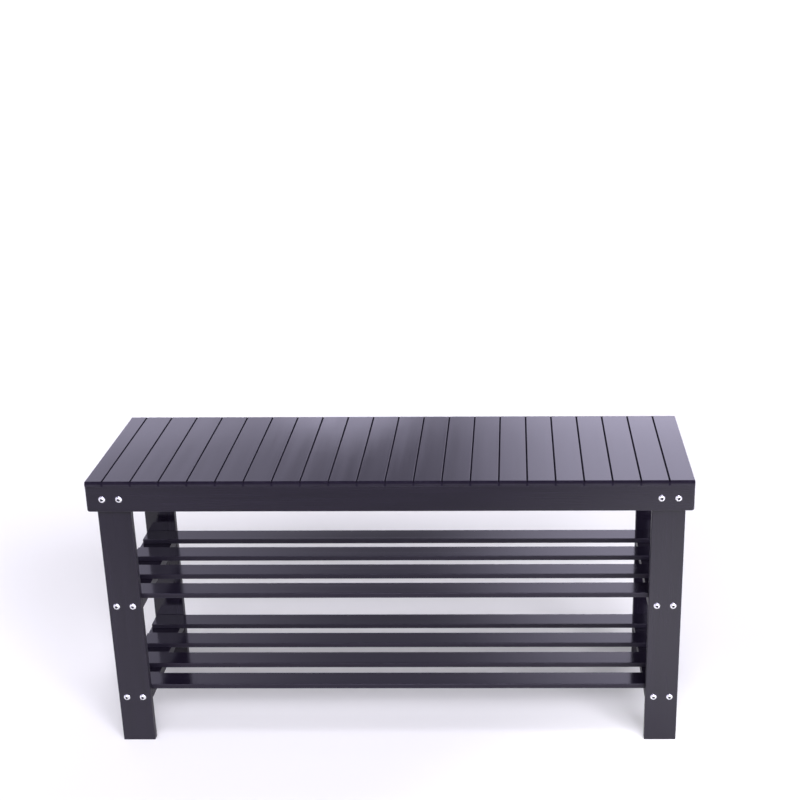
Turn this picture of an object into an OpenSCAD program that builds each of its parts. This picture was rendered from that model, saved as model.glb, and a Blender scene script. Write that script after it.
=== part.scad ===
// Two-shelf slatted entryway bench, bolted together from flat boards.
// Origin: on the floor, under the middle of the bench. +X right, +Y back, +Z up.

/* [Overall] */
// Length of the seat from end to end
bench_l = 900; // [700:10:1200]
// Depth from the front apron's face to the rear apron's face
bench_d = 280; // [240:5:400]
// Height of the seat above the floor
bench_h = 450; // [400:5:520]

/* [Seat] */
// Thickness of the seat slats
seat_t = 8; // [6:0.5:12]
// Width of the slat at the left end, ripped narrower to finish the row
first_slat_w = 25.5; // [20:0.5:35]
// Width of the slat at the right end
last_slat_w = 37.5; // [30:0.5:45]
// Width of the groove along each glued joint
groove_w = 2.2; // [1:0.1:3]
// Depth of the groove along each glued joint
groove_deep = 1.8; // [1:0.1:3]

/* [Aprons and legs] */
// Height of the front and rear aprons
apron_h = 40; // [36:1:60]
// Thickness of the aprons
apron_t = 12; // [10:0.5:18]
// Radius of the aprons' lower corners
apron_corner_r = 3.5; // [1:0.5:5]
// Width of a leg
leg_w = 50; // [46:1:60]
// Thickness of a leg
leg_t = 12; // [10:0.5:18]
// Distance that the aprons run past the legs
leg_inset = 11; // [5:1:30]

/* [Rails and shelves] */
// Width of the cross rails
rail_w = 50; // [46:1:60]
// Thickness of the cross rails
rail_t = 16; // [15:1:20]
// Height of the upper shelf's bolts above the floor
upper_z = 238; // [200:1:280]
// Height of the lower shelf's bolts above the floor
lower_z = 78; // [50:1:120]
// Width of a shelf slat
shelf_slat_w = 36; // [30:1:40]
// Thickness of a shelf slat
shelf_slat_t = 8; // [6:0.5:12]
// Distance that the shelf slats' ends stop short of the legs' outer edges
shelf_slat_inset = 2.5; // [0:0.5:5]
// Radius of the boards' long edges
arris_r = 1; // [0.5:0.25:2.5]

/* [Seat battens] */
// Width of the battens under the seat
batten_w = 20; // [16:1:30]
// Height of the battens under the seat
batten_h = 20; // [16:1:24]

/* [Fasteners] */
// Spacing of each pair of bolts
bolt_pair = 25; // [20:0.5:28]
// Thread diameter of the bolts
bolt_d = 6; // [5:1:6]
// Diameter of the bolts' domed heads
bolt_head_d = 10.5; // [9:0.5:12]
// Height of the bolts' domed heads
bolt_head_h = 3.3; // [2.5:0.1:4]
// Size of the hexagon key that fits the bolts
key_af = 4; // [3:1:4]
// Length of a bolt past each leg's or apron's inner face
bolt_reach = 18; // [15:1:22]
// Outer diameter of the threaded inserts
insert_d = 9; // [8:0.5:10]
// Length of the threaded inserts
insert_l = 15; // [10:1:18]
// Shank diameter of the slat screws
screw_d = 3.5; // [3:0.5:4]

/* [Hidden] */
$fn = 48;
clearance = 0.3;
thread_gap = 0.05;
seat_slats = 22;
shelf_slats = 4;
full_pitch = (bench_l - first_slat_w - last_slat_w) / (seat_slats - 2);
seat_under_z = bench_h - seat_t;
apron_z = seat_under_z - apron_h;
seat_bolt_z = seat_under_z - apron_h / 2;
frame_half_l = bench_l / 2 - leg_inset;
leg_x = frame_half_l - leg_w / 2;
front_y = -bench_d / 2;
leg_front_y = front_y + apron_t;
rail_front_y = leg_front_y + leg_t;
leg_y = -leg_front_y - leg_t / 2;
rail_l = -2 * rail_front_y;
shelf_pitch = (rail_l - shelf_slat_w) / (shelf_slats - 1);
shelf_slat_l = 2 * (frame_half_l - shelf_slat_inset);
shank_hole_d = bolt_d + 2 * clearance;
socket_deep = 2;
socket_corner_d = key_af / cos(30);
head_ball_r = (bolt_head_d * bolt_head_d / 4 + bolt_head_h * bolt_head_h) / (2 * bolt_head_h);
bolt_hole_l = bolt_reach + 4;
slat_screw_l = rail_t + shelf_slat_t / 2;
seat_screw_l = batten_h + seat_t / 2;
screw_head_d = 2 * screw_d;
screw_head_h = screw_d * 0.6;
screw_side = 15;
screw_clear_of_bolts = 9;
rail_to_batten_gap = 2;
batten_half_l = leg_x - rail_w / 2 - rail_to_batten_gap;
batten_y = rail_l / 2 - batten_w / 2;
first_screwed_slat = 3;
last_screwed_slat = seat_slats - 2;

lacquer = [0.09, 0.085, 0.11];
seat_lacquer = [0.12, 0.115, 0.14];
zinc = [0.82, 0.82, 0.84];
brass = [0.75, 0.6, 0.3];
steel = [0.45, 0.45, 0.47];

// Number as two digits, so that the names sort in order
function two_digits(n) = n < 10 ? str("0", n) : str(n);
function seat_slat_name(i) = str("seat_slat_", two_digits(i));
function shelf_slat_name(shelf, i) = str(shelf, "_shelf_slat_", i);

// Edges of seat slat i, counted from 1 at the left end
function slat_left_x(i) = i == 1 ? -bench_l / 2 : -bench_l / 2 + first_slat_w + (i - 2) * full_pitch;
function slat_right_x(i) = i == seat_slats ? bench_l / 2 : slat_left_x(i + 1);
function shelf_slat_y(i) = rail_front_y + shelf_slat_w / 2 + (i - 1) * shelf_pitch;

// Distance that a shelf screw sits off its slat's centre line, to pass the end bolts
function screw_shift(i) = i == 1 ? screw_clear_of_bolts : i == shelf_slats ? -screw_clear_of_bolts : 0;
function slat_middle_x(i) = (slat_left_x(i) + slat_right_x(i)) / 2;

// Rectangle with round corners, centred
module round_rect(w, h, r) {
    square([w - 2 * r, h], center = true);
    square([w, h - 2 * r], center = true);
    for (sx = [-1, 1]) {
        for (sy = [-1, 1]) {
            translate([sx * (w / 2 - r), sy * (h / 2 - r)]) circle(r);
        }
    }
}

// Board lying along X, Y or Z with its long edges rounded, centred at the origin
module board_x(l, d, h) {
    rotate([90, 0, 90]) linear_extrude(l, center = true) round_rect(d, h, arris_r);
}
module board_y(l, w, h) {
    rotate([90, 0, 0]) linear_extrude(l, center = true) round_rect(w, h, arris_r);
}
module board_z(l, w, d) {
    linear_extrude(l, center = true) round_rect(w, d, arris_r);
}

// Children at each bolt of one row: both ends, front and rear, two by two.
// The children are drawn with +Y into the bench and y = 0 at the given face.
module at_bolts(z, face_y) {
    for (side_y = [0, 1]) {
        for (side_x = [-1, 1]) {
            for (pair = [-1, 1]) {
                mirror([0, side_y, 0])
                    translate([side_x * leg_x + pair * bolt_pair / 2, face_y, z])
                        children();
            }
        }
    }
}

// Straight hole or rod running along +Y from y = 0
module rod_y(d, l) {
    rotate([-90, 0, 0]) cylinder(h = l, d = d);
}

// Holes for the shanks of one row of bolts, through whatever board they cross
module shank_holes(z) {
    at_bolts(z, front_y - 1) rod_y(shank_hole_d, apron_t + leg_t + 2);
}

// Bolt with a domed head, a hexagon socket and a plain shank
module bolt(grip) {
    difference() {
        union() {
            intersection() {
                translate([0, head_ball_r - bolt_head_h, 0]) sphere(head_ball_r);
                translate([0, -bolt_head_h, 0]) rod_y(bolt_head_d, bolt_head_h);
            }
            rod_y(bolt_d, grip + bolt_reach);
        }
        translate([0, -bolt_head_h - 1, 0])
            rotate([-90, 0, 0])
                cylinder(h = socket_deep + 1, d = socket_corner_d, $fn = 6);
    }
}

// Threaded insert sunk flush in the end of a rail
module insert() {
    difference() {
        rod_y(insert_d, insert_l);
        translate([0, -1, 0]) rod_y(bolt_d + 2 * thread_gap, insert_l + 2);
    }
}

// Countersunk screw driven upwards, with its head's face at z = 0
module screw(l) {
    cylinder(h = screw_head_h, d1 = screw_head_d, d2 = screw_d);
    cylinder(h = l, d = screw_d);
}
module screw_hole(l) {
    translate([0, 0, -1]) cylinder(h = 1, d = screw_head_d + 2 * thread_gap);
    cylinder(h = screw_head_h, d1 = screw_head_d + 2 * thread_gap, d2 = screw_d + 2 * thread_gap);
    cylinder(h = l + 1, d = screw_d + 2 * thread_gap);
}

// Children at each of a shelf's screws, two where each slat crosses a rail
module at_shelf_screws(z) {
    for (side = [-1, 1]) {
        for (i = [1:shelf_slats]) {
            for (dx = [-screw_side, screw_side]) {
                translate([side * leg_x + dx, shelf_slat_y(i) + screw_shift(i), z]) children();
            }
        }
    }
}

// Children at the two screws that hold each seat slat to the battens. The slats
// at both ends stand on the legs, past the battens' ends, and have only their glue.
module at_seat_screws(from, to) {
    for (i = [from:to]) {
        if (i >= first_screwed_slat && i <= last_screwed_slat) {
            for (side = [-1, 1]) {
                translate([slat_middle_x(i), side * batten_y, seat_under_z - batten_h]) children();
            }
        }
    }
}

// Seat slat: a flat strip laid front to back, with half a groove on each glued edge
module seat_slat(i) {
    left = slat_left_x(i);
    right = slat_right_x(i);
    left_bevel = i == 1 ? arris_r : groove_w / 2;
    right_bevel = i == seat_slats ? arris_r : groove_w / 2;
    color(seat_lacquer)
        difference() {
            rotate([90, 0, 0])
                linear_extrude(bench_d, center = true)
                    polygon([
                        [left, seat_under_z],
                        [right, seat_under_z],
                        [right, bench_h - groove_deep],
                        [right - right_bevel, bench_h],
                        [left + left_bevel, bench_h],
                        [left, bench_h - groove_deep]
                    ]);
            at_seat_screws(i, i) screw_hole(seat_screw_l);
        }
}

// Apron: the long board that carries the seat's front or rear edge
module apron(side) {
    color(lacquer)
        difference() {
            translate([0, side * (bench_d - apron_t) / 2, seat_bolt_z])
                rotate([90, 0, 0])
                    linear_extrude(apron_t, center = true) {
                        round_rect(bench_l, apron_h, apron_corner_r);
                        translate([0, apron_h / 4]) square([bench_l, apron_h / 2], center = true);
                    }
            shank_holes(seat_bolt_z);
        }
}

// Leg: a flat board behind the apron, from the floor to the seat
module leg(side_x, side_y) {
    color(lacquer)
        difference() {
            translate([side_x * leg_x, side_y * leg_y, seat_under_z / 2])
                board_z(seat_under_z, leg_w, leg_t);
            for (z = [seat_bolt_z, upper_z, lower_z]) {
                shank_holes(z);
            }
        }
}

// Cross rail between a front leg and a rear leg, drilled in both ends for the inserts
module rail(side_x, z) {
    color(lacquer)
        difference() {
            translate([side_x * leg_x, 0, z]) board_y(rail_l, rail_w, rail_t);
            at_bolts(z, rail_front_y) {
                translate([0, -1, 0]) rod_y(insert_d, insert_l + 1);
                rod_y(shank_hole_d, bolt_hole_l);
            }
            at_shelf_screws(z - rail_t / 2) screw_hole(slat_screw_l);
        }
}

// Seat rail: the same board as a shelf rail, with no slats to screw on
module seat_rail(side_x) {
    color(lacquer)
        difference() {
            translate([side_x * leg_x, 0, seat_bolt_z]) board_y(rail_l, rail_w, rail_t);
            at_bolts(seat_bolt_z, rail_front_y) {
                translate([0, -1, 0]) rod_y(insert_d, insert_l + 1);
                rod_y(shank_hole_d, bolt_hole_l);
            }
        }
}

// Shelf slat: a long strip that lies on both rails of its shelf
module shelf_slat(i, rail_z) {
    slat_z = rail_z + rail_t / 2 + shelf_slat_t / 2;
    color(lacquer)
        difference() {
            translate([0, shelf_slat_y(i), slat_z]) board_x(shelf_slat_l, shelf_slat_w, shelf_slat_t);
            at_shelf_screws(rail_z - rail_t / 2) screw_hole(slat_screw_l);
        }
}

// Batten: the square strip that ties the seat slats together from below
module batten(side) {
    color(lacquer)
        difference() {
            translate([0, side * batten_y, seat_under_z - batten_h / 2])
                board_x(2 * batten_half_l, batten_w, batten_h);
            at_seat_screws(1, seat_slats) screw_hole(seat_screw_l);
        }
}

// One row of bolts, drawn from the face that their heads bear on
module bolt_row(z, face_y, grip) {
    color(zinc) at_bolts(z, face_y) bolt(grip);
}
module insert_row(z) {
    color(brass) at_bolts(z, rail_front_y) insert();
}
module shelf_screw_set(rail_z) {
    color(steel) at_shelf_screws(rail_z - rail_t / 2) screw(slat_screw_l);
}
module seat_screw_set() {
    color(steel) at_seat_screws(1, seat_slats) screw(seat_screw_l);
}

for (i = [1:seat_slats]) {
    seat_slat(i);
}
apron(-1);  // front_apron
apron(1);  // rear_apron
leg(-1, -1);  // front_left_leg
leg(1, -1);  // front_right_leg
leg(-1, 1);  // rear_left_leg
leg(1, 1);  // rear_right_leg
seat_rail(-1);  // left_seat_rail
seat_rail(1);  // right_seat_rail
rail(-1, upper_z);  // left_upper_rail
rail(1, upper_z);  // right_upper_rail
rail(-1, lower_z);  // left_lower_rail
rail(1, lower_z);  // right_lower_rail
for (i = [1:shelf_slats]) {
    shelf_slat(i, upper_z);
    shelf_slat(i, lower_z);
}
batten(-1);  // front_seat_batten
batten(1);  // rear_seat_batten
bolt_row(seat_bolt_z, front_y, apron_t + leg_t);  // apron_bolts
bolt_row(upper_z, leg_front_y, leg_t);  // upper_shelf_bolts
bolt_row(lower_z, leg_front_y, leg_t);  // lower_shelf_bolts
insert_row(seat_bolt_z);  // apron_inserts
insert_row(upper_z);  // upper_shelf_inserts
insert_row(lower_z);  // lower_shelf_inserts
seat_screw_set();  // seat_screws
shelf_screw_set(upper_z);  // upper_shelf_screws
shelf_screw_set(lower_z);  // lower_shelf_screws
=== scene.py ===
import bpy
import numpy as np
from mathutils import Matrix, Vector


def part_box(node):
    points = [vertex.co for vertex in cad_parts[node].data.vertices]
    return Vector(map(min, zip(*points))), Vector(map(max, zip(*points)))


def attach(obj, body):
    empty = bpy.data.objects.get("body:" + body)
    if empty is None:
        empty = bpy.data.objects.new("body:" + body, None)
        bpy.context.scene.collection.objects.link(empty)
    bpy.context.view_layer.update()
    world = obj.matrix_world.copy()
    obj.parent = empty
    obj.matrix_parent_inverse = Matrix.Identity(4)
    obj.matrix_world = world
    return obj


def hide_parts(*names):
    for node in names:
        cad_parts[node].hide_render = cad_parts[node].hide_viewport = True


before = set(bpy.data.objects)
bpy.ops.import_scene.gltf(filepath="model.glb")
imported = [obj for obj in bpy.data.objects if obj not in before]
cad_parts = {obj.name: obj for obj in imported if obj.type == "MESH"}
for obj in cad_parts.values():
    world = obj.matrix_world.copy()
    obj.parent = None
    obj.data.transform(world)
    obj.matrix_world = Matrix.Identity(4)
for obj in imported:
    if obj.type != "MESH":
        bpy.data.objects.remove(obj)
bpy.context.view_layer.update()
scene = bpy.context.scene
print("frame loaded:", len(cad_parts), "nodes")

# ---------- camera ----------
cameraSetup = {
    "position": (0.18233, -2.03095, 1.24041),
    "turn": -0.01256,      # radians, to the right when positive
    "tiltDown": 0.36047,
    "roll": -0.00735,
    "lens": 62.774,
    "sensor": 36.0,
    "shift": (-0.12059, 0.03966),
    "seesTo": 200.0,
}


def makeCamera(setup):
    # forward from turn and tilt, then right and up turned about it by the roll
    turn, tilt, roll = setup["turn"], setup["tiltDown"], setup["roll"]
    forward = np.array([np.sin(turn) * np.cos(tilt), np.cos(turn) * np.cos(tilt), -np.sin(tilt)])
    level = np.array([np.cos(turn), -np.sin(turn), 0.0])
    upright = np.cross(level, forward)
    right = level * np.cos(roll) + upright * np.sin(roll)
    up = upright * np.cos(roll) - level * np.sin(roll)
    data = bpy.data.cameras.new("benchCamera")
    data.sensor_width = setup["sensor"]
    data.lens = setup["lens"]
    data.shift_x, data.shift_y = setup["shift"]
    data.clip_end = setup["seesTo"]
    camera = bpy.data.objects.new("benchCamera", data)
    scene.collection.objects.link(camera)
    turned = Matrix(np.stack([right, up, -forward], 1).tolist()).to_4x4()
    turned.translation = setup["position"]
    camera.matrix_world = turned
    scene.camera = camera


makeCamera(cameraSetup)

# ---------- mesh making ----------


def meshObject(name, points, loops, totals, loopNormals, loopUv, edgeWear, dull):
    # loops lists the corner vertices of every face one after the other, totals the corners of each face
    mesh = bpy.data.meshes.new(name)
    mesh.vertices.add(len(points))
    mesh.vertices.foreach_set("co", np.asarray(points, np.float32).ravel())
    mesh.loops.add(len(loops))
    mesh.loops.foreach_set("vertex_index", np.asarray(loops, np.int32))
    mesh.polygons.add(len(totals))
    starts = np.concatenate([[0], np.cumsum(totals)[:-1]])
    mesh.polygons.foreach_set("loop_start", starts.astype(np.int32))
    mesh.polygons.foreach_set("loop_total", np.asarray(totals, np.int32))
    mesh.polygons.foreach_set("use_smooth", np.ones(len(totals), bool))
    mesh.update(calc_edges=True)
    layer = mesh.uv_layers.new(name="grain")
    layer.data.foreach_set("uv", np.asarray(loopUv, np.float32).ravel())
    for key, values in (("edgeWear", edgeWear), ("dull", dull)):
        mesh.attributes.new(key, "FLOAT", "POINT").data.foreach_set("value", np.asarray(values, np.float32))
    mesh.normals_split_custom_set(np.asarray(loopNormals, np.float64).reshape(-1, 3).tolist())
    return bpy.data.objects.new(name, mesh)


def unit(vectors):
    return vectors / np.maximum(np.linalg.norm(vectors, axis=-1, keepdims=True), 1e-12)


class Surface:
    # gathers tubes (grids closed round one way) and flat caps into one mesh with shared vertices
    def __init__(self):
        self.points, self.loops, self.totals, self.normals = [], [], [], []
        self.uv, self.wear, self.dull = [], [], []
        self.count = 0

    def addTube(self, grid, normals, uv, wear, dull, capStart=None, capEnd=None):
        # grid[ring, around], uv has one more column than grid, where the seam closes
        rings, around = grid.shape[:2]
        first = self.count
        self.points.append(grid.reshape(-1, 3))
        self.wear.append(np.broadcast_to(wear, (rings, around)).reshape(-1))
        self.dull.append(np.broadcast_to(dull, (rings, around)).reshape(-1))
        self.count += rings * around
        r, k = np.meshgrid(np.arange(rings - 1), np.arange(around), indexing="ij")
        corners = [(r, k), (r, k + 1), (r + 1, k + 1), (r + 1, k)]
        index = np.stack([a * around + b % around for a, b in corners], -1).reshape(-1, 4)
        flat = grid.reshape(-1, 3)
        cross = np.cross(flat[index[:, 2]] - flat[index[:, 0]], flat[index[:, 3]] - flat[index[:, 1]])
        outward = (cross * normals.reshape(-1, 3)[index[:, 0]]).sum() >= 0
        order = [0, 1, 2, 3] if outward else [3, 2, 1, 0]
        turned = [corners[o] for o in order]
        self.loops.append((index[:, order] + first).reshape(-1))
        self.totals.append(np.full(len(index), 4))
        self.normals.append(np.stack([normals[a, b % around] for a, b in turned], -2).reshape(-1, 3))
        self.uv.append(np.stack([uv[a, b] for a, b in turned], -2).reshape(-1, 2))
        for ring, normal in ((0, capStart), (rings - 1, capEnd)):
            if normal is not None:
                self.addCap(grid[ring], first + ring * around, np.asarray(normal, float), uv[ring, :around])

    def addCap(self, outline, first, normal, uv):
        # one flat face over a ring, facing along normal
        middle = outline.mean(0)
        swept = np.cross(outline - middle, np.roll(outline, -1, 0) - middle).sum(0)
        order = np.arange(len(outline))
        if swept @ normal < 0:
            order = order[::-1]
        self.loops.append(order + first)
        self.totals.append([len(outline)])
        self.normals.append(np.tile(normal, (len(outline), 1)))
        self.uv.append(uv[order])

    def build(self, name):
        return meshObject(name, np.concatenate(self.points), np.concatenate(self.loops),
                          np.concatenate(self.totals), np.concatenate(self.normals),
                          np.concatenate(self.uv), np.concatenate(self.wear), np.concatenate(self.dull))


def placePiece(piece, material, nodes):
    scene.collection.objects.link(piece)
    piece.data.materials.append(material)
    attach(piece, "root")
    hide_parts(*nodes)


def corners(node):
    low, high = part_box(node)
    return np.array(low, float), np.array(high, float)


# ---------- materials ----------


class Shader:
    # a thin helper that adds nodes and links by socket name
    def __init__(self, name):
        self.material = bpy.data.materials.new(name)
        self.material.use_nodes = True
        self.tree = self.material.node_tree
        self.main = self.tree.nodes["Principled BSDF"]

    def add(self, kind, inputs=None, **settings):
        node = self.tree.nodes.new(kind)
        for key, value in settings.items():
            setattr(node, key, value)
        for key, value in (inputs or {}).items():
            if isinstance(value, bpy.types.NodeSocket):
                self.tree.links.new(value, node.inputs[key])
            else:
                node.inputs[key].default_value = value
        return node

    def maths(self, operation, a, b):
        return self.add("ShaderNodeMath", {0: a, 1: b}, operation=operation).outputs[0]

    def mixColour(self, amount, a, b):
        node = self.add("ShaderNodeMix", {0: amount, 6: a, 7: b}, data_type="RGBA")
        return node.outputs[2]

    def remap(self, value, low, high, toLow, toHigh):
        node = self.add("ShaderNodeMapRange", {"Value": value, "From Min": low, "From Max": high,
                                               "To Min": toLow, "To Max": toHigh})
        return node.outputs["Result"]

    def noise(self, vector, scale, detail, roughness=0.5):
        inputs = {"Vector": vector, "Scale": scale, "Detail": detail, "Roughness": roughness}
        return self.add("ShaderNodeTexNoise", inputs).outputs[0]

    def stretch(self, vector, scale):
        return self.add("ShaderNodeMapping", {"Vector": vector, "Scale": scale}).outputs[0]

    def attribute(self, name):
        return self.add("ShaderNodeAttribute", attribute_name=name).outputs["Fac"]

    def feed(self, socket, value):
        if isinstance(value, bpy.types.NodeSocket):
            self.tree.links.new(value, self.main.inputs[socket])
        else:
            self.main.inputs[socket].default_value = value


lacquerLook = {
    "dark": (0.0064, 0.0050, 0.0092),
    "light": (0.0118, 0.0095, 0.0162),
    "rubbed": (0.050, 0.044, 0.050),
    "wear": 0.15,                   # how much of the edges is rubbed
    "wearRough": 0.2,
    "lift": (1.25, 0.5),            # cloudy places: times the light colour, and how much of it
    "seam": (0.6, 0.5),             # lines between strips: times the dark colour, and how much of it
    "stripWidth": 0.0208,           # bamboo strips glued side by side in every board
    "stripLength": 0.36,
    "stripStep": 0.37,              # how far each row of strips is shifted, in strip lengths
    "seamWidth": 0.00025,
    "seamSoft": 0.6,
    "streaks": (9.0, 900.0, 1.0),   # per metre along and across the grain
    "clouds": (3.0, 60.0, 1.0),
    "peel": 420.0,                  # orange peel, sags and rubbed specks, per metre
    "sag": 26.0,
    "speckle": 160.0,
    "roughness": (0.08, 0.13),
    "dullRoughness": 0.35,          # added on the boards' narrow faces, ends and grooves
    "dullShine": 0.27,              # specular level there
    "ior": 1.5,
    "grainDepth": 0.00003,
    "peelDepth": 0.00001,
    "sagDepth": 0.00012,
    "seamDepth": 0.00003,
}


def scaled(colour, amount):
    return [c * amount for c in colour] + [1.0]


def makeLacquer(name, look, tone, gloss, relief, shine):
    # near-black lacquer: tone scales the colour, gloss the roughness and relief the bumps,
    # and shine is the specular level on the broad faces
    shader = Shader(name)
    grain = shader.add("ShaderNodeUVMap", uv_map="grain").outputs["UV"]
    place = shader.add("ShaderNodeTexCoord").outputs["Object"]
    streaks = shader.noise(shader.stretch(grain, look["streaks"]), 1.0, 5.0, 0.6)
    clouds = shader.noise(shader.stretch(grain, look["clouds"]), 1.0, 3.0)
    strips = shader.add("ShaderNodeTexBrick", {
        "Vector": grain, "Mortar": (0.0, 0.0, 0.0, 1.0), "Scale": 1.0,
        "Mortar Size": look["seamWidth"], "Mortar Smooth": look["seamSoft"],
        "Brick Width": look["stripLength"], "Row Height": look["stripWidth"]}, offset=look["stripStep"])
    seam = strips.outputs["Fac"]
    peel = shader.noise(place, look["peel"], 1.5)
    sag = shader.noise(place, look["sag"], 2.0)
    speckle = shader.noise(place, look["speckle"], 4.0)
    wear, dull = shader.attribute("edgeWear"), shader.attribute("dull")

    tint = shader.mixColour(shader.remap(streaks, 0.32, 0.68, 0.0, 1.0),
                            scaled(look["dark"], tone), scaled(look["light"], tone))
    paler, share = look["lift"]
    tint = shader.mixColour(shader.remap(clouds, 0.3, 0.7, 0.0, share), tint,
                            scaled(look["light"], tone * paler))
    darker, share = look["seam"]
    tint = shader.mixColour(shader.maths("MULTIPLY", seam, share), tint, scaled(look["dark"], tone * darker))
    rub = shader.maths("MULTIPLY", wear, shader.remap(speckle, 0.5, 0.7, 0.0, look["wear"]))
    shader.feed("Base Color", shader.mixColour(rub, tint, scaled(look["rubbed"], 1.0)))

    low, high = look["roughness"]
    rough = shader.remap(clouds, 0.3, 0.7, low * gloss, high * gloss)
    rough = shader.maths("ADD", rough, shader.maths("MULTIPLY", rub, look["wearRough"]))
    rough = shader.maths("ADD", rough, shader.maths("MULTIPLY", dull, look["dullRoughness"]))
    shader.feed("Roughness", rough)
    level = shader.maths("SUBTRACT", shine, shader.maths("MULTIPLY", dull, shine - look["dullShine"]))
    shader.feed("Specular IOR Level", shader.maths("MAXIMUM", level, 0.0))
    shader.feed("IOR", look["ior"])

    height = shader.maths("MULTIPLY", streaks, look["grainDepth"])
    height = shader.maths("ADD", height, shader.maths("MULTIPLY", peel, look["peelDepth"]))
    height = shader.maths("ADD", height, shader.maths("MULTIPLY", sag, look["sagDepth"]))
    height = shader.maths("SUBTRACT", height, shader.maths("MULTIPLY", seam, look["seamDepth"]))
    bump = shader.add("ShaderNodeBump", {"Height": height, "Strength": relief, "Distance": 1.0})
    shader.feed("Normal", bump.outputs[0])
    return shader.material


metalLook = {
    "mottle": 900.0,             # patches of the finish and fine scratches, per metre
    "scratches": 4200.0,
    "scratchDepth": 0.0001,
    "darker": 0.8,               # colour of the darker patches against the bright ones
    "unevenRough": (0.8, 1.3),   # times the roughness, from patch to patch
    # painted shade: the recesses of the heads are coloured near-black, with rougher and less metal shine
    # there
    "recessShade": (0.02, 0.02, 0.022),
    "recessShadeRough": 0.3,
}


def makeMetal(name, look, colour, roughness, marks):
    # plated or turned metal with fine scratches, a mottled finish and painted shade in its recesses, which
    # are coloured near-black and not metallic
    shader = Shader(name)
    recess = shader.attribute("dull")
    place = shader.add("ShaderNodeTexCoord").outputs["Object"]
    mottle = shader.noise(place, look["mottle"], 4.0)
    scratches = shader.noise(place, look["scratches"], 2.0)
    clean = shader.mixColour(mottle, scaled(colour, look["darker"]), scaled(colour, 1.0))
    # the recess mask paints the socket and the cross dark: painted shade
    shader.feed("Base Color", shader.mixColour(recess, clean, scaled(look["recessShade"], 1.0)))
    shader.feed("Metallic", shader.maths("SUBTRACT", 1.0, recess))
    low, high = look["unevenRough"]
    worn = shader.remap(mottle, 0.3, 0.7, roughness * low, roughness * high)
    shader.feed("Roughness", shader.maths("ADD", worn, shader.maths("MULTIPLY", recess, look["recessShadeRough"])))
    bump = shader.add("ShaderNodeBump",
                      {"Height": scratches, "Strength": marks, "Distance": look["scratchDepth"]})
    shader.feed("Normal", bump.outputs[0])
    return shader.material


seatLacquer = makeLacquer("seatLacquer", lacquerLook, 1.0, 0.85, 0.12, 0.5)
frameLacquer = makeLacquer("frameLacquer", lacquerLook, 0.9, 1.0, 0.45, 0.40)
boltZinc = makeMetal("boltZinc", metalLook, (0.93, 0.93, 0.94), 0.22, 0.1)
insertBrass = makeMetal("insertBrass", metalLook, (0.72, 0.56, 0.27), 0.3, 0.2)
screwSteel = makeMetal("screwSteel", metalLook, (0.40, 0.40, 0.42), 0.35, 0.2)
print("materials made")

# ---------- boards ----------

boardShape = {
    "arris": 0.0010,        # radius of the long edges
    "endArris": 0.0008,     # radius round the end faces
    "tightArris": 0.0004,   # edges that meet another board
    "apronCorner": 0.0035,  # lower corners of the aprons
    "leastRadius": 0.00005,
    "flatWithin": 0.999,    # points whose normal is this near to an axis count as flat, without wear
    "arcSteps": 5,
    "endSteps": 4,
    "endTurn": 0.95,        # how much of the quarter turn each end is drawn in by
}
grainShift = 0.731          # metres of grain between one board and the next, along it and across
acrossShift = 0.0137
shelfSlats = 4


def outlineWithArcs(lowA, highA, lowB, highB, radii, steps):
    # rectangle in (a, b) with a quarter circle of its own radius at each corner, counter-clockwise
    turn = np.linspace(0.0, np.pi / 2, steps)
    points, normals = [], []
    signs = ((1, 1), (-1, 1), (-1, -1), (1, -1))
    for number, ((sideA, sideB), radius) in enumerate(zip(signs, radii)):
        angle = turn + number * np.pi / 2
        normal = np.stack([np.cos(angle), np.sin(angle)], -1)
        cornerA = highA if sideA > 0 else lowA
        cornerB = highB if sideB > 0 else lowB
        centre = np.array([cornerA - sideA * radius, cornerB - sideB * radius])
        points.append(centre + radius * normal)
        normals.append(normal)
    return np.concatenate(points), np.concatenate(normals)


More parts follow.
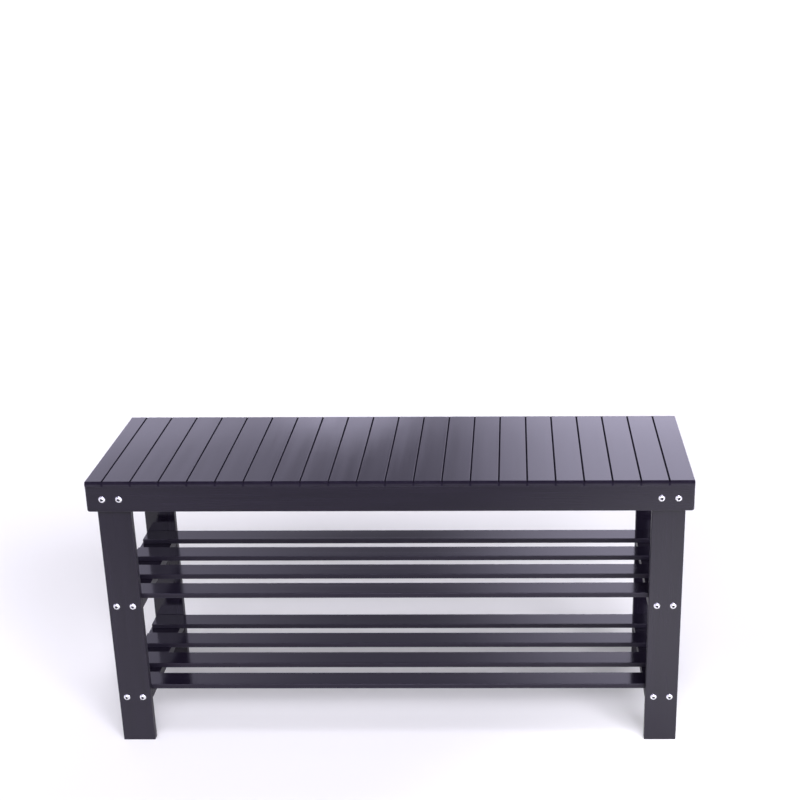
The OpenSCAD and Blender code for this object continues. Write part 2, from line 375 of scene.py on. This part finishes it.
def makeBoard(node, number, radii, endRound):
    # The outline across the board is carried along its length. Towards each end it draws in along a
    # quarter ellipse: sides by endRound["sides"], lower edge by "low" and upper edge by "top".
    low, high = corners(node)
    length = int(np.argmax(high - low))
    a, b = [axis for axis in range(3) if axis != length]
    reach = max(endRound.values())
    turns = np.linspace(0.0, np.pi / 2 * boardShape["endTurn"], boardShape["endSteps"])
    steps = boardShape["arcSteps"]
    rings, ringNormals, places = [], [], []
    for side in (-1, 1):
        order = turns[::-1] if side < 0 else turns
        for turn in order:
            pull = 1 - np.cos(turn)
            inA, inLow, inTop = (endRound[key] * pull for key in ("sides", "low", "top"))
            drawn = [max(radius - inA, boardShape["leastRadius"]) for radius in radii]
            outline, normal = outlineWithArcs(low[a] + inA, high[a] - inA,
                                              low[b] + inLow, high[b] - inTop, drawn, steps)
            sink = np.where(normal[:, 1] > 0, endRound["top"], endRound["low"]) * normal[:, 1] ** 2
            sink = sink + endRound["sides"] * normal[:, 0] ** 2
            end = high[length] if side > 0 else low[length]
            place = end - side * reach * (1 - np.sin(turn))
            if turn == turns[-1]:
                place = end
            ring = np.zeros((len(outline), 3))
            ring[:, a], ring[:, b], ring[:, length] = outline[:, 0], outline[:, 1], place
            facing = np.zeros_like(ring)
            facing[:, a] = normal[:, 0] * reach * np.cos(turn)
            facing[:, b] = normal[:, 1] * reach * np.cos(turn)
            facing[:, length] = side * sink * np.sin(turn)
            rings.append(ring)
            ringNormals.append(unit(facing))
            places.append(place)
    grid, normals = np.stack(rings), np.stack(ringNormals)
    middleRing = grid[len(turns)]
    around = np.linalg.norm(np.diff(np.vstack([middleRing, middleRing[:1]]), axis=0), axis=1)
    across = np.concatenate([[0.0], np.cumsum(around)])
    uv = np.zeros((len(grid), grid.shape[1] + 1, 2))
    uv[..., 0] = np.array(places)[:, None] + number * grainShift
    uv[..., 1] = across[None, :] + number * acrossShift
    onFlat = np.abs(normals).max(-1) > boardShape["flatWithin"]
    surface = Surface()
    towards = np.zeros(3)
    towards[length] = 1.0
    narrow = a if high[a] - low[a] > high[b] - low[b] else b     # the narrow faces look along this axis
    dull = np.clip(normals[..., narrow] ** 2 + normals[..., length] ** 2, 0.0, 1.0)
    surface.addTube(grid, normals, uv, np.where(onFlat, 0.0, 1.0), dull, -towards, towards)
    placePiece(surface.build(node + "_board"), frameLacquer, [node])


tight, arris = boardShape["tightArris"], boardShape["arris"]
plainEnds = dict.fromkeys(("sides", "low", "top"), boardShape["endArris"])
apronEnds = {"sides": arris, "low": boardShape["apronCorner"], "top": tight}

plainBoards = [place + "_leg" for place in ("front_left", "front_right", "rear_left", "rear_right")]
plainBoards += [side + "_" + level + "_rail"
                for level in ("seat", "upper", "lower") for side in ("left", "right")]
plainBoards += [shelf + "_shelf_slat_" + str(count)
                for shelf in ("upper", "lower") for count in range(1, shelfSlats + 1)]
plainBoards += [side + "_seat_batten" for side in ("front", "rear")]

boards = [(node, (tight, tight, arris, arris), apronEnds) for node in ("front_apron", "rear_apron")]
boards += [(node, (arris,) * 4, plainEnds) for node in plainBoards]
for number, (node, radii, endRound) in enumerate(boards, 1):
    makeBoard(node, number, radii, endRound)
print("boards made:", len(boards))

# ---------- seat slats ----------

seatShape = {
    "slats": 22,
    "firstScrewed": 3,       # the two outer slats on each side stand past the battens
    "grooveHalf": 0.0015,    # half the groove's width at the top
    "grooveDeep": 0.0022,
    "grooveRunOut": 0.006,   # the grooves grow shallow this close to the rear edge
    "grooveAtRear": 0.25,
    "grooveSoft": 0.0002,    # how far the softening of the groove's corners reaches
    "endArris": 0.0010,      # outer edge of the two end slats
    "frontArris": 0.0026,    # front and rear top edges
    "grooveDull": 1.8,       # how dull the groove walls are, 1 being a board's narrow face
    "frontDull": 2.1,
    "leastUp": 0.02,         # keeps the normals of the groove walls from lying flat
    "shoulderSteps": 6,
    "arcSteps": 6,
}


def roundedEdge(width, depth, steps):
    # quarter ellipse from the side up to the flat: distance in, drop below the top, and normal (out, up)
    turn = np.linspace(0.0, np.pi / 2, steps)
    normal = unit(np.stack([depth * np.cos(turn), width * np.sin(turn)], -1))
    return width * (1 - np.cos(turn)), depth * (1 - np.sin(turn)), normal


def grooveEdge(width, depth, softened, steps):
    # straight wall from the joint up to the top's corner, softened there by a quadratic curve between two
    # points at the same distance from the corner, one on the wall and one on the flat
    wall = np.array([width, -depth]) / np.hypot(width, depth)
    corner = np.array([width, 0.0])
    before, after = corner - softened * wall, corner + [softened, 0.0]
    s = np.linspace(0.0, 1.0, steps - 1)[:, None]
    curve = (1 - s) ** 2 * before + 2 * s * (1 - s) * corner + s ** 2 * after
    along = (1 - s) * (corner - before) + s * (after - corner)
    path = np.vstack([[0.0, depth], curve])
    heading = unit(np.vstack([wall, along]))
    return path[:, 0], path[:, 1], np.stack([-heading[:, 1], heading[:, 0]], -1)


def makeSeatSlat(count):
    # The side outline (y, z) is repeated across x, and its upper part sinks towards each joint:
    # point(x, s) = (x, y(s), z(s) - drop(x) * sink(s)), with sink 1 along the top and less at the rear.
    # The normal is the side outline's own, leaned over by the slope of the groove's wall.
    node = "seat_slat_%02d" % count
    low, high = corners(node)
    steps = seatShape["shoulderSteps"]
    groove = grooveEdge(seatShape["grooveHalf"], seatShape["grooveDeep"], seatShape["grooveSoft"], steps)
    edge = roundedEdge(seatShape["endArris"], seatShape["endArris"], steps)
    inLeft, dropLeft, normalLeft = edge if count == 1 else groove
    inRight, dropRight, normalRight = edge if count == seatShape["slats"] else groove
    x = np.concatenate([low[0] + inLeft, (high[0] - inRight)[::-1]])
    drop = np.concatenate([dropLeft, dropRight[::-1]])
    tilt = np.concatenate([normalLeft * [-1, 1], normalRight[::-1]])
    radius = seatShape["frontArris"]
    turn = np.linspace(0.0, np.pi / 2, seatShape["arcSteps"])
    frontArc = np.stack([low[1] + radius * (1 - np.cos(turn)), high[2] - radius * (1 - np.sin(turn))], -1)
    frontNormal = np.stack([-np.cos(turn), np.sin(turn)], -1)
    rearArc = frontArc[::-1] * [-1, 1] + [low[1] + high[1], 0]
    rearNormal = frontNormal[::-1] * [-1, 1]
    lowerEdges = np.array([[high[1], low[2] + tight], [high[1] - tight, low[2]],
                           [low[1] + tight, low[2]], [low[1], low[2] + tight]])
    lowerNormals = unit(np.array([[1.0, 0.0], [0.0, -1.0], [0.0, -1.0], [-1.0, 0.0]]))
    runOut = np.array([[high[1] - seatShape["grooveRunOut"], high[2]]])
    outline = np.concatenate([frontArc, runOut, rearArc, lowerEdges])
    facing = np.concatenate([frontNormal, [[0.0, 1.0]], rearNormal, lowerNormals])
    atRear = np.full(len(turn), seatShape["grooveAtRear"])
    sinks = np.concatenate([np.ones(len(turn) + 1), atRear, np.zeros(len(lowerEdges))])
    grid = np.zeros((len(x), len(outline), 3))
    grid[..., 0] = x[:, None]
    grid[..., 1] = outline[None, :, 0]
    grid[..., 2] = outline[None, :, 1] - drop[:, None] * sinks[None, :]
    up = np.where(sinks > 0, 1.0, 0.0)
    normals = np.zeros_like(grid)
    normals[..., 0] = tilt[:, None, 0] * (facing[:, 1] * up)[None, :]
    steady = np.where(sinks[None, :] > 0, np.maximum(tilt[:, None, 1], seatShape["leastUp"]), 1.0)
    normals[..., 1] = facing[None, :, 0] * steady
    normals[..., 2] = facing[None, :, 1] * steady
    normals = unit(normals)
    run = np.linalg.norm(np.diff(np.vstack([outline, outline[:1]]), axis=0), axis=1)
    uv = np.zeros((len(x), len(outline) + 1, 2))
    uv[..., 0] = np.concatenate([[0.0], np.cumsum(run)])[None, :] + count * grainShift
    uv[..., 1] = x[:, None]
    wear = np.zeros(grid.shape[:2])
    wear[:, 1:len(turn) - 1] = 1.0
    wear[:, len(turn) + 2:2 * len(turn)] = 1.0
    surface = Surface()
    walls = np.zeros(len(x))
    walls[:2] = 0.0 if count == 1 else seatShape["grooveDull"]
    walls[-2:] = 0.0 if count == seatShape["slats"] else seatShape["grooveDull"]
    dull = np.repeat(walls[:, None], grid.shape[1], 1)
    dull[:, :len(turn) - 1] = np.maximum(dull[:, :len(turn) - 1], seatShape["frontDull"])
    surface.addTube(grid, normals, uv, wear, dull, (-1, 0, 0), (1, 0, 0))
    placePiece(surface.build(node + "_strip"), seatLacquer, [node])


for count in range(1, seatShape["slats"] + 1):
    makeSeatSlat(count)
print("seat slats made:", seatShape["slats"])

# ---------- bolts ----------

boltShape = {
    "headWide": 0.0105,
    "headHigh": 0.0033,
    "rimHigh": 0.0006,
    "rimRound": 0.0002,
    "key": 0.0040,            # across the flats of the socket
    "socketDeep": 0.0020,
    "socketMouth": 1.09,      # the mouth is this much wider than the socket
    "socketEase": (0.00025, 0.0001),          # below the mouth, and above the floor
    "socketFloor": ((0.94, 0.0), (0.3, 0.0003)),   # share of the socket's width, and how far below the floor
    "socketTip": (0.00004, 0.0004),           # radius and depth of the floor's middle
    "domeRings": 9,
    "shank": 0.0060,
    "pitch": 0.0010,
    "threadDeep": 0.0006,
    "threadLong": 0.018,
    "threadSteps": 4,         # rings in each turn of the thread
    "tip": (0.0008, 0.0006),  # length and depth of the shank's end bevel
    "reach": 0.018,           # past the face of the rail
    "pairGap": 0.025,
    "around": 48,
    "seed": 7,
    "recessRings": 5,         # rings of the socket: its tip, floor and wall
}


def slopeNormals(grid):
    # normals from the grid's own directions, by central differences, closed round the second way
    alongRing = np.roll(grid, -1, 1) - np.roll(grid, 1, 1)
    downRings = np.gradient(grid, axis=0)
    return unit(np.cross(alongRing, downRings))


def boltRings(shape, grip):
    # Head and shank as rings on the bolt's own axis: z up out of the head, z = 0 where the head bears.
    # The dome is a circle's arc, and the socket's radius follows a hexagon: half key / cos(angle to the
    # flat). The thread's radius falls by threadDeep * (1 - |2 * phase - 1|), phase = turns + angle / circle.
    around = shape["around"]
    angle = np.linspace(0, 2 * np.pi, around, endpoint=False)
    hexagon = shape["key"] / 2 / np.cos((angle + np.pi / 6) % (np.pi / 3) - np.pi / 6)
    wide, tall, rim, soft = (shape[key] for key in ("headWide", "headHigh", "rimHigh", "rimRound"))
    wide = wide / 2
    ball = (wide ** 2 + (tall - rim) ** 2) / (2 * (tall - rim))

    def ring(radius, height):
        radius = np.broadcast_to(radius, (around,))
        height = np.broadcast_to(height, (around,))
        return np.stack([radius * np.cos(angle), radius * np.sin(angle), height], -1)

    under = [ring(shape["shank"] / 2, 0.0), ring(wide - soft, 0.0), ring(wide, soft), ring(wide, rim)]
    share = np.linspace(0.0, 1.0, shape["domeRings"])[1:, None]
    domeRadii = wide + (hexagon * shape["socketMouth"] - wide) * share
    domeHeights = rim + np.sqrt(ball ** 2 - domeRadii ** 2) - (ball - (tall - rim))
    dome = [ring(radii, heights) for radii, heights in zip(domeRadii, domeHeights)]
    floor = tall - shape["socketDeep"]
    belowMouth, aboveFloor = shape["socketEase"]
    socket = [ring(hexagon, domeHeights[-1].min() - belowMouth), ring(hexagon, floor + aboveFloor)]
    socket += [ring(hexagon * part, floor - deep) for part, deep in shape["socketFloor"]]
    socket.append(ring(shape["socketTip"][0], floor - shape["socketTip"][1]))

    smooth = grip + shape["reach"] - shape["threadLong"]
    turns = int(round(shape["threadLong"] / shape["pitch"]))
    t = np.linspace(0.0, shape["threadLong"], turns * shape["threadSteps"] + 1)
    phase = (t[:, None] / shape["pitch"] + angle[None, :] / (2 * np.pi)) % 1.0
    fade = np.clip(np.minimum(t, shape["threadLong"] - t) / shape["pitch"], 0.0, 1.0)[:, None]
    cut = shape["threadDeep"] * (1 - np.abs(2 * phase - 1)) * fade
    tipLong, tipDeep = shape["tip"]
    taper = np.clip((t - shape["threadLong"] + tipLong) / tipLong, 0.0, 1.0)[:, None] * tipDeep
    threadRadii = shape["shank"] / 2 - cut - taper
    thread = [ring(radii, -(smooth + height)) for radii, height in zip(threadRadii, t)]
    return np.stack(socket[::-1] + dome[::-1] + under[::-1] + thread)


def gridInto(surface, grid, inRecess):
    # adds a turned shape with both ends closed; its first inRecess rings lie in the recess of the head
    normals = slopeNormals(grid)
    # turned round, if need be, so that the widest ring looks away from the axis
    widest = np.argmax(np.linalg.norm((grid - grid.mean(1, keepdims=True)), axis=-1).mean(1))
    away = grid[widest] - grid[widest].mean(0)
    if (normals[widest] * away).sum() < 0:
        normals = -normals
    rings, around = grid.shape[:2]
    uv = np.zeros((rings, around + 1, 2))
    ends = [unit(ring.mean(0) - inner.mean(0)) for ring, inner in ((grid[0], grid[1]), (grid[-1], grid[-2]))]
    # these rings carry the painted shade of the recess, through the dull attribute
    recess = (np.arange(rings) < inRecess).astype(float)[:, None]
    surface.addTube(grid, normals, uv, 0.0, recess, *ends)


def turnTo(grid, origin, outward, spin):
    # the shape's z axis goes along outward (plus or minus y), spun about itself
    c, s = np.cos(spin), np.sin(spin)
    x, y, z = grid[..., 0] * c - grid[..., 1] * s, grid[..., 0] * s + grid[..., 1] * c, grid[..., 2]
    return np.stack([origin[0] + x, origin[1] + outward * z, origin[2] + y * -outward], -1)


def makeBoltRow(node, railNode, bearingNode):
    shape = boltShape
    low, high = corners(node)
    bearing = corners(bearingNode)[1][1]
    rings = boltRings(shape, bearing - corners(railNode)[1][1])
    outer = high[0] - shape["headWide"] / 2
    z = (low[2] + high[2]) / 2
    surface = Surface()
    places = [(side * (outer - inner * shape["pairGap"]), outward)
              for outward in (-1, 1) for side in (-1, 1) for inner in (0, 1)]
    spins = np.random.default_rng(shape["seed"]).uniform(0, np.pi / 3, len(places))
    for spin, (x, outward) in zip(spins, places):
        gridInto(surface, turnTo(rings, (x, outward * bearing, z), outward, spin), shape["recessRings"])
    placePiece(surface.build(node + "_heads"), boltZinc, [node])


makeBoltRow("apron_bolts", "left_seat_rail", "rear_apron")
makeBoltRow("upper_shelf_bolts", "left_upper_rail", "rear_left_leg")
makeBoltRow("lower_shelf_bolts", "left_lower_rail", "rear_left_leg")
print("bolts made")

# ---------- screws ----------

screwShape = {
    "headWide": 0.0070,
    "headDeep": 0.0021,
    "headRound": (0.0003, 0.0001),   # inwards and along the axis
    "crossTip": (0.00005, 0.0014),   # radius and depth
    "crossFloor": (0.0006, 0.0012),
    "crossWall": ((0.0019, 0.0009), (0.0006, 0.0)),   # in the arms and between them: radii, then depths
    "crossMouth": (0.0021, 0.0016),
    "shank": 0.0035,
    "threadDeep": 0.0005,
    "threads": 7,
    "threadEnds": (0.002, 0.003),    # clear of the head and of the tip
    "tip": 0.0002,
    "around": 16,                    # a multiple of four, for the cross
    "besideMiddle": 0.015,
    "clearOfBolts": 0.009,
    "proud": 0.0002,
    "recessRings": 2,
}


def screwGrid(length):
    # Rings from the bottom of the cross recess out over the head, down its cone and up the threaded shank.
    # Every fourth point round the recess reaches further out, which makes the four arms of the cross.
    shape = screwShape
    angle = np.linspace(0, 2 * np.pi, shape["around"], endpoint=False)
    arm = (np.arange(shape["around"]) % 4 == 0)
    wide, shank = shape["headWide"] / 2, shape["shank"] / 2
    wallRadii, wallDepths = shape["crossWall"]
    roundIn, roundDeep = shape["headRound"]
    rows = [shape["crossTip"], shape["crossFloor"], (np.where(arm, *wallRadii), np.where(arm, *wallDepths)),
            (np.where(arm, *shape["crossMouth"]), 0.0), (wide - roundIn, 0.0), (wide, roundDeep),
            (shank, shape["headDeep"])]
    afterHead, beforeTip = shape["threadEnds"]
    start = shape["headDeep"] + afterHead
    for number, height in enumerate(np.linspace(start, length - beforeTip, 2 * shape["threads"])):
        rows.append((shank - shape["threadDeep"] * (number % 2), height))
    rows.append((shape["tip"], length))
    rings = []
    for radius, height in rows:
        r, h = np.broadcast_to(radius, angle.shape), np.broadcast_to(height, angle.shape)
        rings.append(np.stack([r * np.cos(angle), r * np.sin(angle), h], -1))
    return np.stack(rings)


def makeScrews(node, places):
    low, high = corners(node)
    grid = screwGrid(high[2] - low[2])
    surface = Surface()
    for x, y in places:
        gridInto(surface, grid + [x, y, low[2] - screwShape["proud"]], screwShape["recessRings"])
    placePiece(surface.build(node + "_set"), screwSteel, [node])


def middle(node):
    low, high = corners(node)
    return (low + high) / 2


def shelfScrewPlaces(shelf):
    places = []
    for side in ("left", "right"):
        railX = middle(side + "_" + shelf + "_rail")[0]
        for count in range(1, shelfSlats + 1):
            # the screws of the outer slats stand further in, clear of the bolts
            shift = {1: screwShape["clearOfBolts"], shelfSlats: -screwShape["clearOfBolts"]}.get(count, 0.0)
            slatY = middle(shelf + "_shelf_slat_" + str(count))[1] + shift
            places += [(railX + beside * screwShape["besideMiddle"], slatY) for beside in (-1, 1)]
    return places


for shelf in ("upper", "lower"):
    makeScrews(shelf + "_shelf_screws", shelfScrewPlaces(shelf))
seatScrewPlaces = [(middle("seat_slat_%02d" % count)[0], middle(side + "_seat_batten")[1])
                   for side in ("front", "rear")
                   for count in range(seatShape["firstScrewed"], seatShape["slats"] - 1)]
makeScrews("seat_screws", seatScrewPlaces)
for node in ("apron_inserts", "upper_shelf_inserts", "lower_shelf_inserts"):
    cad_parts[node].data.materials.clear()
    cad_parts[node].data.materials.append(insertBrass)
print("screws and inserts made")

# ---------- floor and light ----------

studio = {
    "floorSize": 60.0,
    "floorColour": (0.80, 0.82, 0.70, 1.0),
    # painted light and shade on the floor: it glows a little everywhere, more in the glow patch, and the dim
    # patch darkens its colour and glow in front of the bench
    "floorGlow": 0.06,
    "glowColour": (1.0, 1.0, 1.03, 1.0),
    "dimPatch": (-0.20, -1.40, 0.10, 1.15, -0.50),   # x, y, full within, gone beyond (metres), change
    "glowPatch": (0.70, -0.65, 0.20, 0.90, 0.80),
    "skyLevel": 0.10,
    "skyColour": (1.03, 0.98, 1.27, 1.0),
    "skyPatches": (          # azimuth from the back, elevation, full within, gone beyond (degrees), level
        (17, 22, 8, 21, 1.5),
        (-30, 20, 8, 24, 0.57),
        (-7, 17, 2.0, 4.7, 1.1),
        (142, 32, 3, 13, 18.0),
        (166, 32, 3, 13, 18.0),
        (190, 32, 3, 13, 8.0),
        (172, 80, 2, 11, 10.0),
        (-110, 42, 15, 45, 0.4),
    ),
    "bands": ((19.6, 21.0, 0.55), (32, 48, 0.28)),   # full below, gone above (degrees), level
}


def fadedSum(tree, start, fades):
    # start plus every faded value, each falling smoothly from its level at "full" to nothing at "gone"
    total = start
    for value, full, gone, level in fades:
        fade = tree.nodes.new("ShaderNodeMapRange")
        fade.interpolation_type = "SMOOTHERSTEP"
        lowFirst = full < gone
        fade.inputs["From Min"].default_value = full if lowFirst else gone
        fade.inputs["From Max"].default_value = gone if lowFirst else full
        fade.inputs["To Min"].default_value = level if lowFirst else 0.0
        fade.inputs["To Max"].default_value = 0.0 if lowFirst else level
        tree.links.new(value, fade.inputs["Value"])
        add = tree.nodes.new("ShaderNodeMath")
        if isinstance(total, bpy.types.NodeSocket):
            tree.links.new(total, add.inputs[0])
        else:
            add.inputs[0].default_value = total
        tree.links.new(fade.outputs["Result"], add.inputs[1])
        total = add.outputs[0]
    return total


def vectorMaths(tree, operation, vector, constant):
    node = tree.nodes.new("ShaderNodeVectorMath")
    node.operation = operation
    tree.links.new(vector, node.inputs[0])
    node.inputs[1].default_value = constant
    return node.outputs["Value"]


def makeFloor(setup):
    half = setup["floorSize"] / 2
    mesh = bpy.data.meshes.new("studioFloor")
    square = [(-half, -half, 0), (half, -half, 0), (half, half, 0), (-half, half, 0)]
    mesh.from_pydata(square, [], [(0, 1, 2, 3)])
    floor = bpy.data.objects.new("studioFloor", mesh)
    scene.collection.objects.link(floor)
    shader = Shader("floorPaper")
    place = shader.add("ShaderNodeTexCoord").outputs["Object"]

    def patch(start, x, y, full, gone, change):
        away = vectorMaths(shader.tree, "DISTANCE", place, (x, y, 0.0))
        return fadedSum(shader.tree, start, [(away, full, gone, change)])

    # painted shade and painted light, laid on the floor's colour and emission
    dim = patch(1.0, *setup["dimPatch"])
    glow = patch(setup["floorGlow"], *setup["glowPatch"])
    shader.feed("Base Color", shader.mixColour(dim, (0.0, 0.0, 0.0, 1.0), setup["floorColour"]))
    shader.feed("Roughness", 0.9)
    shader.feed("Specular IOR Level", 0.0)
    shader.feed("Emission Color", setup["glowColour"])
    shader.feed("Emission Strength", shader.maths("MULTIPLY", glow, dim))
    mesh.materials.append(shader.material)


def makeWorld(setup):
    world = bpy.data.worlds.new("studioSky")
    scene.world = world
    world.use_nodes = True
    tree = world.node_tree
    direction = tree.nodes.new("ShaderNodeTexCoord").outputs["Generated"]
    fades = []
    for azimuth, elevation, inner, outer, level in setup["skyPatches"]:
        az, el = np.radians(azimuth), np.radians(elevation)
        towards = (np.sin(az) * np.cos(el), np.cos(az) * np.cos(el), np.sin(el))
        fades.append((vectorMaths(tree, "DOT_PRODUCT", direction, towards),
                      np.cos(np.radians(inner)), np.cos(np.radians(outer)), level))
    height = vectorMaths(tree, "DOT_PRODUCT", direction, (0.0, 0.0, 1.0))
    fades += [(height, np.sin(np.radians(full)), np.sin(np.radians(gone)), level)
              for full, gone, level in setup["bands"]]
    background = tree.nodes["Background"]
    tree.links.new(fadedSum(tree, setup["skyLevel"], fades), background.inputs["Strength"])
    background.inputs["Color"].default_value = setup["skyColour"]


makeFloor(studio)
makeWorld(studio)
scene.view_settings.view_transform = "Standard"
print("studio made")
